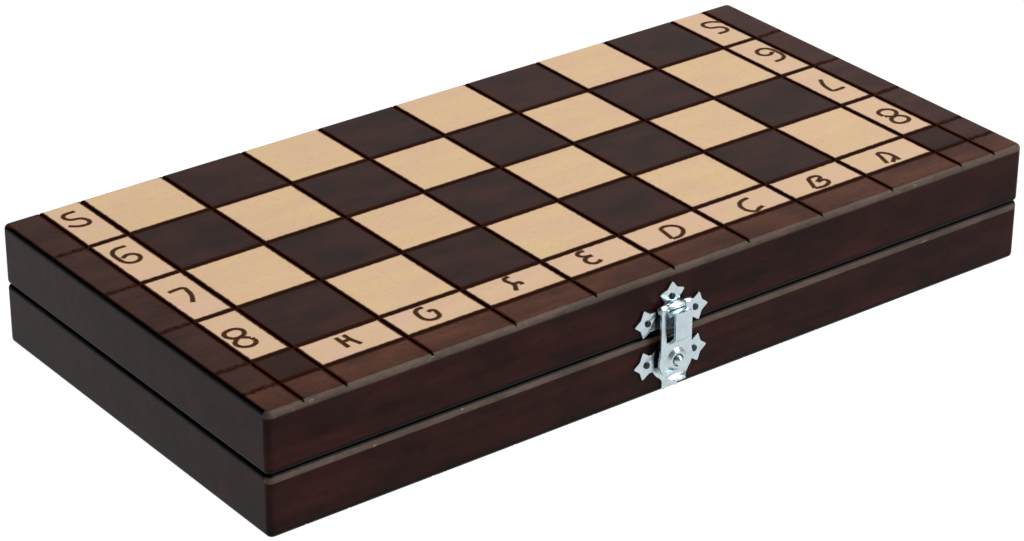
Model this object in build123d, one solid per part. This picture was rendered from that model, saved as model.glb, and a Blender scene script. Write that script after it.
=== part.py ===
from build123d import *
import math
import os

# A folding chess box, closed. Two wooden trays are hinged along one long side and held by a
# clasp on the other. The outer faces of the trays are the two halves of a chess board.
# X runs along the box, the clasp is on the -Y side, the hinges are on the +Y side, Z is up.
# The origin is on the table, under the middle of the whole outline. Sizes are millimetres.

# Board
square = 30.5
strip_width = 15.0
border_width = 13.0
columns = 8
rows = 4
board_thickness = 4.0
groove_width = 1.3
groove_floor = 0.7
groove_depth = 0.8
border_line_width = 0.9

# Trays
half_height = 21.0
wall_thickness = 8.0
edge_round = 1.7
rim_round = 1.6
corner_extra = 0.4

# Hinges
hinge_spacing = 150.0
leaf_length = 24.0
leaf_width = 7.0
leaf_thickness = 1.0
leaf_gap = 0.2
leaf_fit = 0.2
barrel_radius = 1.9
barrel_clearance = 0.25
knuckle_gap = 0.15
hinge_pin_radius = 0.9
pin_clearance = 0.05
back_gap = 0.2
screw_spacing = 16.0
screw_radius = 0.9
screw_head_radius = 1.8
screw_length = 7.0
screw_point = 1.4
screw_tip_radius = 0.1
screw_clearance = 0.04
slot_width = 0.45
slot_depth = 0.4

# Clasp plates
latch_x = -1.4
plate_thickness = 0.8
upper_body_radius = 5.8
lower_body_radius = 7.6
neck_height = 6.0
foot_gap = 0.8
seam_gap = 0.4
lobe_spread = 9.5
lobe_rise = 6.75
star_tip = 5.2
star_notch = 3.3
star_blunt = 0.45
nail_radius = 0.6
nail_length = 6.0
nail_point = 1.2
nail_tip_radius = 0.1
nail_head_radius = 1.1
nail_head_height = 0.55
nail_head_rim = 0.1
nail_clearance = 0.02

# Clasp hasp and its pin
latch_pin_radius = 0.65
latch_pin_rise = 4.0
curl_radius = 1.3
curl_half_length = 3.2
swing_gap = 0.15
sheet = 0.8
hasp_half_width = 6.1
disc_radius = 6.6
rail_width = 2.0
bridge_half_width = 3.1
bridge_reach = 6.6
bridge_top_drop = 0.5
bridge_slope = 2.8
crossbar = 1.6
flare_radius = 2.7
flare_height = 2.75
boss_radius = 3.9
boss_top_radius = 2.9
boss_height = 1.05

# Clasp knob
knob_rise = 0.55
knob_radius = 1.8
knob_reach = 6.1
knob_stem_radius = 1.1
knob_flange_radius = 2.0
knob_flange_height = 0.5
knob_clearance = 0.35

# Reaches out from the front face
latch_pin_reach = plate_thickness + swing_gap + curl_radius
sheet_front = latch_pin_reach + curl_radius
sheet_back = sheet_front - sheet
lip_centre = sheet_front - sheet / 2 + flare_radius
clasp_reach = max(bridge_reach, knob_reach, lip_centre)

# Places worked out from the sizes
case_length = columns * square + 2 * (strip_width + border_width)
case_width = rows * square + strip_width + border_width
case_height = 2 * half_height
seam_z = half_height
corner_round = max(edge_round, rim_round) + corner_extra
hinge_offset = back_gap / 2
back_reach = hinge_offset + barrel_radius
back_y = (case_width + clasp_reach - back_reach) / 2
front_y = back_y - case_width
middle_y = (front_y + back_y) / 2
hinge_y = back_y + hinge_offset
hinge_places = [-hinge_spacing / 2, hinge_spacing / 2]
hinge_axis = Plane(origin=(0, hinge_y, seam_z), x_dir=(0, 1, 0), z_dir=(1, 0, 0))

star_side = star_tip * math.sin(math.radians(72))
star_foot = star_tip * math.sin(math.radians(54))
lower_lobe_z = foot_gap + star_foot + lobe_rise
upper_lobe_z = seam_z + seam_gap + star_side
latch_pin_z = upper_lobe_z + latch_pin_rise
knob_z = lower_lobe_z + knob_rise

# The clasp is drawn on the front face: x to the right, y up from the table, z out of the face.
face = Plane(origin=(latch_x, front_y, 0), x_dir=(1, 0, 0), z_dir=(0, -1, 0))


def box(x, y, z):
    """A block between two values along each axis."""
    middle = Pos((x[0] + x[1]) / 2, (y[0] + y[1]) / 2, (z[0] + z[1]) / 2)
    return middle * Box(x[1] - x[0], y[1] - y[0], z[1] - z[0])


def in_half(shape, half):
    """A shape made for the upper tray, or its mirror image across the seam for the lower one."""
    if half == "upper":
        return shape
    return mirror(shape, about=Plane.XY.offset(seam_z))


def case_block(z_low, z_high, round_face, radius):
    """A slab of the case's outline, with rounded corners and one face rounded over."""
    slab = box((-case_length / 2, case_length / 2), (front_y, back_y), (z_low, z_high))
    slab = fillet(slab.edges().filter_by(Axis.Z), corner_round)
    ends = slab.faces().sort_by(Axis.Z)
    rounded = ends[-1] if round_face == "top" else ends[0]
    return fillet(rounded.edges(), radius)


def groove(width, length):
    """A cutter for one line of the board, along Y, with its mouth at z = 0."""
    outline = [
        (-width / 2, 0),
        (-width / 2, groove_depth),
        (width / 2, groove_depth),
        (width / 2, 0),
        (width * groove_floor / groove_width / 2, -groove_depth),
        (-width * groove_floor / groove_width / 2, -groove_depth),
    ]
    mouth = Plane.XZ * make_face(Polyline(*outline, close=True))
    return extrude(mouth, amount=length / 2, both=True)


def board():
    """The board panel of the upper tray, grooved along every line out to its edges."""
    panel = case_block(case_height - board_thickness, case_height, "top", edge_round)
    field = columns * square / 2
    lines_x = [k * square - field for k in range(columns + 1)]
    lines_x += [-field - strip_width, field + strip_width]
    lines_y = [back_y - k * square for k in range(1, rows + 1)]
    across = groove(groove_width, case_width + 2 * border_width)
    along = Rot(0, 0, 90) * groove(groove_width, case_length + 2 * border_width)
    thin = Rot(0, 0, 90) * groove(border_line_width, case_length + 2 * border_width)
    cutters = [Pos(x, middle_y, case_height) * across for x in lines_x]
    cutters += [Pos(0, y, case_height) * along for y in lines_y]
    cutters += [Pos(0, front_y + border_width, case_height) * thin]
    return panel - cutters


def hinge_screw(grow):
    """A countersunk screw, head down at the origin and point up. grow is added to its radii."""
    head = screw_head_radius - screw_radius
    shank = screw_length - head - screw_point
    cone = Cone(screw_head_radius + grow, screw_radius + grow, head)
    rod = Cylinder(screw_radius + grow, shank)
    tip = Cone(screw_radius + grow, screw_tip_radius + grow, screw_point)
    screw = Pos(0, 0, head / 2) * cone
    screw += Pos(0, 0, head + shank / 2) * rod
    screw += Pos(0, 0, head + shank + screw_point / 2) * tip
    return screw


def screw_spots(x):
    """Where the two screws of one hinge leaf start, in the upper tray."""
    y = hinge_y - (leaf_width + barrel_radius + barrel_clearance) / 2
    z = seam_z + leaf_gap / 2
    return [Pos(x + side * screw_spacing / 2, y, z) for side in (-1, 1)]


def hinge_rod(radius, length, x):
    """A cylinder on the hinge axis."""
    return hinge_axis * Pos(0, 0, x) * Cylinder(radius, length)


def hinge_recess(x):
    """What one hinge takes out of the upper tray's rim."""
    reach = leaf_length / 2 + leaf_fit
    pocket = box(
        (x - reach, x + reach),
        (hinge_y - leaf_width - leaf_fit, back_y + wall_thickness),
        (seam_z - leaf_thickness, seam_z + leaf_gap / 2 + leaf_thickness),
    )
    notch = hinge_rod(barrel_radius + barrel_clearance, 2 * reach, x)
    holes = [spot * hinge_screw(screw_clearance) for spot in screw_spots(x)]
    return [pocket, notch] + holes


def hinge_leaf(x, knuckles):
    """One leaf for the upper tray. knuckles says which of the three places along it are its own."""
    length = (leaf_length - 2 * knuckle_gap) / 3
    z = (seam_z + leaf_gap / 2, seam_z + leaf_gap / 2 + leaf_thickness)
    edge = hinge_y - barrel_radius - barrel_clearance
    leaf = box((x - leaf_length / 2, x + leaf_length / 2), (hinge_y - leaf_width, edge), z)
    for place in knuckles:
        at = x + place * (length + knuckle_gap)
        leaf += box((at - length / 2, at + length / 2), (edge, hinge_y), z)
        leaf += hinge_rod(barrel_radius, length, at)
    leaf -= hinge_rod(hinge_pin_radius + pin_clearance, leaf_length + leaf_width, x)
    return leaf - [spot * hinge_screw(screw_clearance) for spot in screw_spots(x)]


def hinge_screws():
    """All four screws of the upper leaves, each with its slot."""
    head = screw_head_radius
    slot = box((-head, head), (-slot_width / 2, slot_width / 2), (-slot_depth, slot_depth))
    screw = hinge_screw(0) - slot
    return Compound(children=[spot * screw for x in hinge_places for spot in screw_spots(x)])


def star(x, y, turn):
    """A blunt five-pointed star on the front face, with one point at the angle turn."""
    corners = []
    for k in range(10):
        reach = star_tip if k % 2 == 0 else star_notch
        angle = math.radians(turn + 36 * k)
        corners.append((x + reach * math.cos(angle), y + reach * math.sin(angle)))
    outline = make_face(Polyline(*corners, close=True))
    return fillet(outline.vertices(), star_blunt)


def lobes(half):
    """The nail places of one clasp plate, each with the angle that its star points to."""
    z = upper_lobe_z if half == "upper" else lower_lobe_z
    way = 1 if half == "upper" else -1
    return [(-lobe_spread, z, 180), (lobe_spread, z, 0), (0, z + way * lobe_rise, 90)]


def nail_rod(radius, x, z):
    """A cutter for a nail's hole, square to the front face."""
    depth = nail_length + plate_thickness
    return face * Pos(x, z, plate_thickness - depth / 2) * Cylinder(radius, depth)


def nail_holes(half):
    """The holes that the three nails of one clasp plate need."""
    return [nail_rod(nail_radius + nail_clearance, x, z) for x, z, _ in lobes(half)]


def clasp_plate(half):
    """A clasp plate: a round body with necks to its three star lobes, cut off above the seam."""
    z, radius = (upper_lobe_z, upper_body_radius) if half == "upper" else (lower_lobe_z, lower_body_radius)
    outline = Pos(0, z) * (Circle(radius) + Rectangle(2 * lobe_spread, neck_height))
    for x, y, turn in lobes(half):
        outline += star(x, y, turn)
    if half == "upper":
        outline -= Pos(0, seam_z + seam_gap - half_height / 2) * Rectangle(case_length, half_height)
    return face * extrude(outline, amount=plate_thickness) - nail_holes(half)


def latch_rod(radius, x_low, x_high):
    """A cylinder on the clasp's pin axis."""
    turned = Pos((x_low + x_high) / 2, latch_pin_z, latch_pin_reach) * Rot(0, 90, 0)
    return face * turned * Cylinder(radius, x_high - x_low)


def upper_plate():
    """The upper clasp plate with the curl that carries the pin."""
    plate = clasp_plate("upper")
    curl = latch_rod(curl_radius, -curl_half_length, curl_half_length)
    root = face * box(
        (-curl_half_length, curl_half_length),
        (latch_pin_z - curl_radius, latch_pin_z),
        (0, latch_pin_reach),
    )
    bore = latch_rod(latch_pin_radius + pin_clearance, -disc_radius, disc_radius)
    return plate + root + curl - bore


def nails(half):
    """The three round-headed nails of one clasp plate."""
    shank = nail_length - nail_point
    head = Cylinder(nail_head_radius, nail_head_height)
    head = fillet(head.edges().sort_by(Axis.Z)[-1], nail_head_height - nail_head_rim)
    nail = Pos(0, 0, nail_head_height / 2) * head
    nail += Pos(0, 0, -shank / 2) * Cylinder(nail_radius, shank)
    nail += Pos(0, 0, -shank - nail_point / 2) * Cone(nail_tip_radius, nail_radius, nail_point)
    spots = [face * Pos(x, z, plate_thickness) for x, z, _ in lobes(half)]
    return Compound(children=[spot * nail for spot in spots])


def knob():
    """The ball-headed stud of the lower plate, which the hasp's hole goes over."""
    centre = knob_reach - knob_radius
    stem = Pos(0, 0, centre / 2) * Cylinder(knob_stem_radius, centre)
    flange_middle = plate_thickness + knob_flange_height / 2
    flange = Pos(0, 0, flange_middle) * Cylinder(knob_flange_radius, knob_flange_height)
    ball = Pos(0, 0, centre) * Sphere(knob_radius)
    return face * Pos(0, knob_z, 0) * (stem + flange + ball)


def lower_plate():
    """The lower clasp plate with the hole that the knob is riveted into."""
    hole = Cylinder(knob_stem_radius + nail_clearance, 2 * knob_reach)
    return clasp_plate("lower") - face * Pos(0, knob_z, 0) * hole


def side_profile(points, half_width):
    """An outline given as (height, reach) pairs, drawn across the face and widened both ways."""
    turned = Plane(origin=(0, 0, 0), x_dir=(0, 1, 0), z_dir=(1, 0, 0))
    outline = turned * make_face(Polyline(*points, close=True))
    return extrude(outline, amount=half_width, both=True)


def hasp_sheet():
    """The flat of the hasp: rails, disc and a lip that flares away from the box."""
    bend_z = knob_z - disc_radius + flare_height
    inner = flare_radius - sheet / 2
    outer = flare_radius + sheet / 2
    flat = box((-disc_radius, disc_radius), (bend_z, latch_pin_z), (sheet_back, sheet_front))
    tube = Rot(0, 90, 0) * (Cylinder(outer, 2 * disc_radius) - Cylinder(inner, 2 * disc_radius))
    quarter = box((-disc_radius, disc_radius), (bend_z - outer, bend_z), (lip_centre - outer, lip_centre))
    lip = (Pos(0, bend_z, lip_centre) * tube) & quarter
    outline = Pos(0, knob_z) * Circle(disc_radius)
    outline += Pos(0, (knob_z + latch_pin_z) / 2) * Rectangle(2 * hasp_half_width, latch_pin_z - knob_z)
    return (flat + lip) & extrude(outline, amount=clasp_reach)


def hasp_bridge():
    """The raised strap in the middle of the hasp, closed at its top and sloping into the disc."""
    top = latch_pin_z - bridge_top_drop
    foot = knob_z + disc_radius - sheet
    outer = [
        (top, sheet_back),
        (top, bridge_reach),
        (foot + bridge_slope, bridge_reach),
        (foot, sheet_front),
        (foot, sheet_back),
    ]
    under = [
        (top - sheet - crossbar, sheet_back - sheet),
        (top - sheet - crossbar, sheet_front),
        (top - sheet, sheet_front + crossbar),
        (top - sheet, bridge_reach - sheet),
        (foot + bridge_slope + sheet / 2, bridge_reach - sheet),
        (foot + sheet, sheet_back + sheet / 2),
        (foot + sheet, sheet_back - sheet),
    ]
    return side_profile(outer, bridge_half_width) - side_profile(under, 2 * bridge_half_width)


def hasp():
    """The swinging part of the clasp."""
    window_top = latch_pin_z - bridge_top_drop - sheet - crossbar
    window_foot = knob_z + disc_radius
    side = hasp_half_width - rail_width
    shape = hasp_sheet()
    shape -= box((-side, side), (window_foot, window_top), (0, clasp_reach))
    shape += hasp_bridge()
    stub = Cone(boss_radius, boss_top_radius, boss_height)
    hollow = Cone(boss_radius - sheet, boss_top_radius - sheet, boss_height)
    hole = Cylinder(knob_radius + knob_clearance, 2 * clasp_reach)
    shape += Pos(0, knob_z, sheet_front + boss_height / 2) * stub
    shape -= Pos(0, knob_z, sheet_back + boss_height / 2) * hollow
    shape -= Pos(0, knob_z, 0) * hole
    shape = face * shape
    inner = curl_half_length + swing_gap
    for low, high in ((-hasp_half_width, -inner), (inner, hasp_half_width)):
        shape += latch_rod(curl_radius, low, high)
    shape -= latch_rod(curl_radius + 2 * swing_gap, -inner, inner)
    return shape - latch_rod(latch_pin_radius + pin_clearance, -disc_radius, disc_radius)


def wall_ring(half):
    """The four walls of one tray in one piece, recessed for the hinges and drilled for the clasp."""
    ring = case_block(seam_z, case_height - board_thickness, "bottom", rim_round)
    inside = case_length / 2 - wall_thickness
    ring -= box(
        (-inside, inside), (front_y + wall_thickness, back_y - wall_thickness), (0, case_height)
    )
    for x in hinge_places:
        ring -= hinge_recess(x)
    return in_half(ring, half) - nail_holes(half)


def mitre_sector(side):
    """Everything that lies on one wall's side of the four mitre planes."""
    x, half_y = case_length / 2, case_width / 2
    out = wall_thickness
    across = {
        "front": [(-x - out, -half_y - out), (x + out, -half_y - out), (x - half_y, 0), (half_y - x, 0)],
        "back": [(-x - out, half_y + out), (x + out, half_y + out), (x - half_y, 0), (half_y - x, 0)],
        "left": [(-x - out, -half_y - out), (half_y - x, 0), (-x - out, half_y + out)],
        "right": [(x + out, -half_y - out), (x - half_y, 0), (x + out, half_y + out)],
    }
    sector = extrude(make_face(Polyline(*across[side], close=True)), amount=case_height)
    return Pos(0, middle_y, 0) * sector


def nodes():
    """Every piece of the box by name."""
    made = {}
    for half in ("lower", "upper"):
        made[half + "_board"] = in_half(board(), half)
        ring = wall_ring(half)
        for side in ("front", "back", "left", "right"):
            made[f"{half}_{side}_wall"] = ring & mitre_sector(side)
        made[f"hinge_{half}_screws"] = in_half(hinge_screws(), half)
        made[f"latch_{half}_nails"] = nails(half)
        own = [0] if half == "upper" else [-1, 1]
        for name, x in zip(("left", "right"), hinge_places):
            made[f"hinge_{name}_{half}_leaf"] = in_half(hinge_leaf(x, own), half)
    for name, x in zip(("left", "right"), hinge_places):
        made[f"hinge_{name}_pin"] = hinge_rod(hinge_pin_radius, leaf_length, x)
    made["latch_upper_plate"] = upper_plate()
    made["latch_lower_plate"] = lower_plate()
    made["latch_knob"] = knob()
    made["latch_hasp"] = hasp()
    made["latch_pin"] = latch_rod(latch_pin_radius, -hasp_half_width, hasp_half_width)
    return made


os.makedirs("parts", exist_ok=True)
for node, shape in nodes().items():
    export_step(shape, f"parts/{node}.step")
print(f"case {case_length:.1f} x {case_width:.1f} x {case_height:.1f} mm")
print(f"front face at y {front_y:.3f}, back face at y {back_y:.3f}, hinge axis at y {hinge_y:.3f}")
print(f"clasp pin at y {front_y - latch_pin_reach:.3f}, z {latch_pin_z:.3f}")
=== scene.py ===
# %% [markdown]
# # A folding chess box
# The box is two shallow wooden trays, hinged at the back and held by a small metal clasp in
# front. Their outer faces are the two halves of a chess board. The joinery, hinges and clasp
# come from the construction model, so this lesson is about finish: stained and lacquered wood,
# lines and letters burnt into it, and bright pressed metal.

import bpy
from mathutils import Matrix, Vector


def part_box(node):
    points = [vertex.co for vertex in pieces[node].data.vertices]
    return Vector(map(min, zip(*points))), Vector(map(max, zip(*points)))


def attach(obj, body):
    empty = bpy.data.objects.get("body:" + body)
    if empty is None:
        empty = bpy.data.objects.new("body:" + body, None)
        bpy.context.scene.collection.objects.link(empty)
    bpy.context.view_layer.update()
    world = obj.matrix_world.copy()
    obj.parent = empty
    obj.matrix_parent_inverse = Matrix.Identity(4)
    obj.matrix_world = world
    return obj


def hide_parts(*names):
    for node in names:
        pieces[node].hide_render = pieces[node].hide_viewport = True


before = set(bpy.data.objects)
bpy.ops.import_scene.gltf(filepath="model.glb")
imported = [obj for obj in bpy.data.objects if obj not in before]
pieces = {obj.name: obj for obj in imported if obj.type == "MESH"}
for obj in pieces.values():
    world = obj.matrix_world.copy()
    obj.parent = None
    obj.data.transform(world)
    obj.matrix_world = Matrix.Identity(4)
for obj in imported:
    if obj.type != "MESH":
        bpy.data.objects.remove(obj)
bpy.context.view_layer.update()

# %% Import what the lesson uses
import math
import random

import bmesh
import bpy
from mathutils import Matrix, Vector

# %% [markdown]
# ## Sizes
# Everything below is placed from a few real sizes in millimetres and from the corners of the
# boards, so a pattern lands on the grooves that are cut in the solid.

# %% Name the sizes
MM = 0.001
SQUARE = 30.5
STRIP = 15.0
COLUMNS = 8
ROWS = 4
GROOVE = 1.3
WALL = 8.0
BOARD_THICKNESS = 4.0
EDGE_ROUND = 1.7

low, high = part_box("upper_board")
FRONT = low.y / MM
BACK = high.y / MM
HALF_LENGTH = high.x / MM
TOP = high.z / MM
SEAM = TOP / 2
FIELD = COLUMNS * SQUARE / 2
ROW_END = BACK - ROWS * SQUARE
print(f"front {FRONT:.2f}, back {BACK:.2f}, top {TOP:.2f} mm")

# %% [markdown]
# ## Camera
# The photograph is taken from the front left with a long lens, a little above a metre away.
# Its place was worked out from the grid of the board, whose squares are all alike, so their
# corners say where the lens was. Roll is the small tilt of a camera held by hand.

# %% Set up the camera
LENS = 115.2
CAMERA_AIM = Vector((-16.4, -12.0, 21.0)) * MM
CAMERA_DISTANCE = 1047.7 * MM
CAMERA_AZIMUTH = math.radians(-37.465)
CAMERA_ELEVATION = math.radians(27.402)
CAMERA_ROLL = math.radians(0.356)

camera = bpy.data.objects.new("camera", bpy.data.cameras.new("camera"))
camera.data.lens = LENS
turn = Matrix.Rotation(CAMERA_AZIMUTH, 4, "Z")
turn = turn @ Matrix.Rotation(math.pi / 2 - CAMERA_ELEVATION, 4, "X")
turn = turn @ Matrix.Rotation(CAMERA_ROLL, 4, "Z")
step_back = Matrix.Translation((0, 0, CAMERA_DISTANCE))
camera.matrix_world = Matrix.Translation(CAMERA_AIM) @ turn @ step_back
bpy.context.scene.collection.objects.link(camera)
bpy.context.scene.camera = camera
print("camera at", [round(v / MM) for v in camera.matrix_world.translation], "mm")

# %% [markdown]
# ## Helpers for materials
# Colours are read off as the sRGB hex values that a picture shows, but light adds up in linear
# values, so one function converts them. The next adds a node, changes its settings and fills
# its inputs with numbers or links, and the last starts a material with one plain shader. Some
# settings come back so often that they have names: a mix of colours, which lays the colour at
# its input 7 over the one at its input 6, a step with soft ends, and the two values between
# which a noise stays nearly everywhere.

# %% Make the helpers
COLOURS = {"data_type": "RGBA", "out": 2}
UNDER = 6
OVER = 7
SOFT = {"interpolation_type": "SMOOTHSTEP"}
NOISE_SPAN = (0.3, 0.7)


def tone(code):
    """A hex colour as the four linear values that a node wants, the last for full opacity."""
    shades = [int(code[k : k + 2], 16) / 255 for k in (1, 3, 5)]
    linear = [s / 12.92 if s <= 0.04045 else ((s + 0.055) / 1.055) ** 2.4 for s in shades]
    return (*linear, 1.0)


def add(tree, kind, *inputs, out=0, at=None, **settings):
    """Adds a node with its settings and links, and returns one of its outputs."""
    made = tree.nodes.new(kind)
    for key, value in settings.items():
        setattr(made, key, value)
    for key, value in [*enumerate(inputs), *(at or {}).items()]:
        socket = made.inputs[key]
        if isinstance(value, bpy.types.NodeSocket):
            tree.links.new(value, socket)
        elif value is not None:
            socket.default_value = value
    return made.outputs[out] if made.outputs else made


def new_material(name, **sockets):
    """A material with a plain shader, whose constant numbers are set on its own sockets."""
    made = bpy.data.materials.new(name)
    made.use_nodes = True
    made.node_tree.nodes.clear()
    shader = add(made.node_tree, "ShaderNodeBsdfPrincipled", at=sockets)
    add(made.node_tree, "ShaderNodeOutputMaterial", shader)
    return made, made.node_tree, shader.node


print("sRGB #808080 is", round(tone("#808080")[0], 3), "in linear light")

# %% [markdown]
# ## A dim room
# The photograph has the plain white ground of a catalogue picture, but the room above it is
# dim: the rounded edges of the left end, which face the back left of the room, show as black
# lines. A picture of a room could surround the box, but a few numbers are easier to steer. The
# surround is a lighter grey at the horizon than overhead, and it is almost black at the back
# left: the closer a ray points to that corner, the darker it finds the room.

# %% Surround the box
HORIZON = 0.34
OVERHEAD = 0.14
HORIZON_FADE = 0.75
DARK_CORNER = (-0.61, 0.75, 0.25)
DARK_SPAN = (0.1, 0.75)
DARKEST = 0.08
ROOM_TINT = "#fffdfb"

scene = bpy.context.scene
scene.view_settings.view_transform = "Standard"

world = bpy.data.worlds.new("dim_room_over_white_ground")
world.use_nodes = True
room = world.node_tree
room.nodes.clear()
direction = add(room, "ShaderNodeTexCoord", out="Generated")
height = add(room, "ShaderNodeSeparateXYZ", direction, out="Z")
fade = add(room, "ShaderNodeMapRange", height, 0.0, HORIZON_FADE, HORIZON, OVERHEAD)
facing = {"operation": "DOT_PRODUCT", "out": "Value"}
corner = add(room, "ShaderNodeVectorMath", direction, DARK_CORNER, **facing)
corner = add(room, "ShaderNodeMapRange", corner, *DARK_SPAN, 1.0, DARKEST)
fade = add(room, "ShaderNodeMath", fade, corner, operation="MULTIPLY")
glow = add(room, "ShaderNodeBackground", tone(ROOM_TINT), fade)
add(room, "ShaderNodeOutputWorld", glow)
scene.world = world
print("room: grey", HORIZON, "at the horizon and", OVERHEAD, "overhead")

# %% [markdown]
# ## A white floor
# The white ground is a pale paper sheet that glows, as on a light table. Plain paper under lamps
# would need more light than the dark box can take. The sheet lies a tenth of a millimetre under
# the box, clear of the signs on its underside, and it is see-through from below, so the
# underside can be looked at too.

# %% Lay the floor
FLOOR_HALF = 8.0
FLOOR_LEVEL = -0.1 * MM
PAPER = {
    "Base Color": tone("#505050"),
    "Roughness": 0.9,
    "Specular IOR Level": 0.0,
    "Emission Color": tone("#ffffff"),
    "Emission Strength": 1.0,
}

quarters = ((-1, -1), (1, -1), (1, 1), (-1, 1))
corners = [(x * FLOOR_HALF, y * FLOOR_HALF, FLOOR_LEVEL) for x, y in quarters]
floor_mesh = bpy.data.meshes.new("floor")
floor_mesh.from_pydata(corners, [], [(0, 1, 2, 3)])
floor = bpy.data.objects.new("floor", floor_mesh)
scene.collection.objects.link(floor)
sheet, sheet_tree, sheet_shader = new_material("lit_matt_paper", **PAPER)
from_below = add(sheet_tree, "ShaderNodeNewGeometry", out="Backfacing")
clear = add(sheet_tree, "ShaderNodeBsdfTransparent")
one_way = add(sheet_tree, "ShaderNodeMixShader", from_below, sheet_shader.outputs["BSDF"], clear)
sheet_tree.links.new(one_way, sheet_tree.nodes["Material Output"].inputs["Surface"])
floor_mesh.materials.append(sheet)
print("floor:", 2 * FLOOR_HALF, "m square")

# %% [markdown]
# ## Two lamps
# A long strip light stands to the front right, because the rounded front edges carry its
# reflection over almost their whole width. It stands far off, so near and far squares are
# equally bright. A faint panel behind, to the right, gives the dark squares their sheen, which
# grows towards the far edge where the view is flatter. Both are area lights, because a point
# light would show as one small glint in the lacquer. Each has the direction in which it stands,
# its distance, width and length in metres, and its power in watts.

# %% Place the lamps
LAMPS = {
    "strip_light": ((0.54, -0.46, 0.70), 5.0, 1.85, 7.6, 388.0),
    "sheen_panel": ((0.54, 0.705, 0.46), 2.4, 2.6, 1.6, 8.4),
}


def soft_light(name, towards, distance, width, length, power):
    """An area light that faces the box. Its length runs over the box from front to back."""
    lamp = bpy.data.objects.new(name, bpy.data.lights.new(name, "AREA"))
    lamp.data.shape = "RECTANGLE"
    lamp.data.size = width
    lamp.data.size_y = length
    lamp.data.energy = power
    towards = Vector(towards).normalized()
    along = Vector((1, 0, 0)).cross(towards).normalized()
    across = along.cross(towards)
    faced = Matrix((across, along, towards)).transposed().to_4x4()
    lamp.matrix_world = Matrix.Translation(towards * distance) @ faced
    scene.collection.objects.link(lamp)


for name, (towards, distance, width, length, watts) in LAMPS.items():
    soft_light(name, towards, distance, width, length, watts)
    print(f"{name}: {width} by {length} m, {distance} m away, {watts} W")

# %% [markdown]
# ## Wood
# The board and the walls are beech, a pale wood with soft bands and short dark pores. Real stain
# sinks into it, so the figure still shows through the dark colours. Three noises make it, all
# drawn out along the box as the grain runs: growth bands a few millimetres apart, pores about
# three millimetres long, and blotches where the wood is yellower or pinker. A picture of a plank
# would stretch over the rounded edges, while a noise in the solid's own millimetres fits every
# face. Beech pores are really a tenth of a millimetre wide; these are drawn five times as
# coarse, or none would show. Each figure has the length and width of one patch and, as its step,
# the two values of the noise between which it fades in.

# %% Describe the grain
BAND = (55.0, 4.0)
BAND_STEP = NOISE_SPAN
PORE = (2.6, 0.5)
PORE_STEP = (0.52, 0.72)
BLOTCH = (18.0, 11.0)
BLOTCH_STEP = (0.36, 0.64)


def millimetres(tree):
    """The place on the piece, in millimetres, as a vector and as its three numbers."""
    place = add(tree, "ShaderNodeTexCoord", out="Object")
    place = add(tree, "ShaderNodeVectorMath", place, operation="SCALE", at={"Scale": 1 / MM})
    return place, add(tree, "ShaderNodeSeparateXYZ", place).node.outputs


def streaks(tree, place, patch, detail):
    """Noise drawn out along the box, in patches of this length and width."""
    length, width = patch
    shrink = (1 / length, 1 / width, 1 / width)
    drawn = add(tree, "ShaderNodeVectorMath", place, shrink, operation="MULTIPLY")
    return add(tree, "ShaderNodeTexNoise", drawn, at={"Scale": 1.0, "Detail": detail})


def grain(tree, place):
    """Bands, pores and blotches of beech as three numbers from 0 to 1."""
    bands = streaks(tree, place, BAND, detail=3.0)
    bands = add(tree, "ShaderNodeMapRange", bands, *BAND_STEP)
    pores = streaks(tree, place, PORE, detail=1.0)
    pores = add(tree, "ShaderNodeMapRange", pores, *PORE_STEP, **SOFT)
    blotches = streaks(tree, place, BLOTCH, detail=2.0)
    blotches = add(tree, "ShaderNodeMapRange", blotches, *BLOTCH_STEP)
    return bands, pores, blotches


print("bands", BAND, "pores", PORE, "blotches", BLOTCH, "mm long and wide")

# %% [markdown]
# ## The board's pattern
# The squares are not inlaid. The maker burns or saws the lines, then brushes dark stain into
# every other square, and the lines stop it from running. A painted picture of the board could
# carry the pattern too, but it would blur in close views. So the pattern is arithmetic on the
# place: count the squares from the left end and from the fold, and an odd sum is dark. The
# cells with letters and numerals stay pale, and the border gets a thinner, redder stain.

# %% Count the squares


def between(tree, value, lowest, highest):
    """1 where the value lies between two limits, and 0 elsewhere."""
    above = add(tree, "ShaderNodeMath", value, lowest, operation="GREATER_THAN")
    below = add(tree, "ShaderNodeMath", value, highest, operation="LESS_THAN")
    return add(tree, "ShaderNodeMath", above, below, operation="MULTIPLY")


def odd_squares(tree, x, y, first_dark):
    """1 on the squares whose column and row add up to an odd number, when first_dark is 0."""
    column = add(tree, "ShaderNodeMath", x, SQUARE, operation="DIVIDE")
    column = add(tree, "ShaderNodeMath", column, operation="FLOOR")
    row = add(tree, "ShaderNodeMath", BACK, y, operation="SUBTRACT")
    row = add(tree, "ShaderNodeMath", row, SQUARE, operation="DIVIDE")
    row = add(tree, "ShaderNodeMath", row, operation="FLOOR")
    count = add(tree, "ShaderNodeMath", column, row, operation="ADD")
    count = add(tree, "ShaderNodeMath", count, COLUMNS + first_dark, operation="ADD")
    return add(tree, "ShaderNodeMath", count, 2.0, operation="MODULO")


print(f"squares: {COLUMNS} by {ROWS}, each {SQUARE} mm, up to {FIELD} mm from the middle")

# %% Mask the parts of the board
# A limit that should cut nothing off lies this far past the middle or the fold.
MARGIN = 1.0


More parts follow.
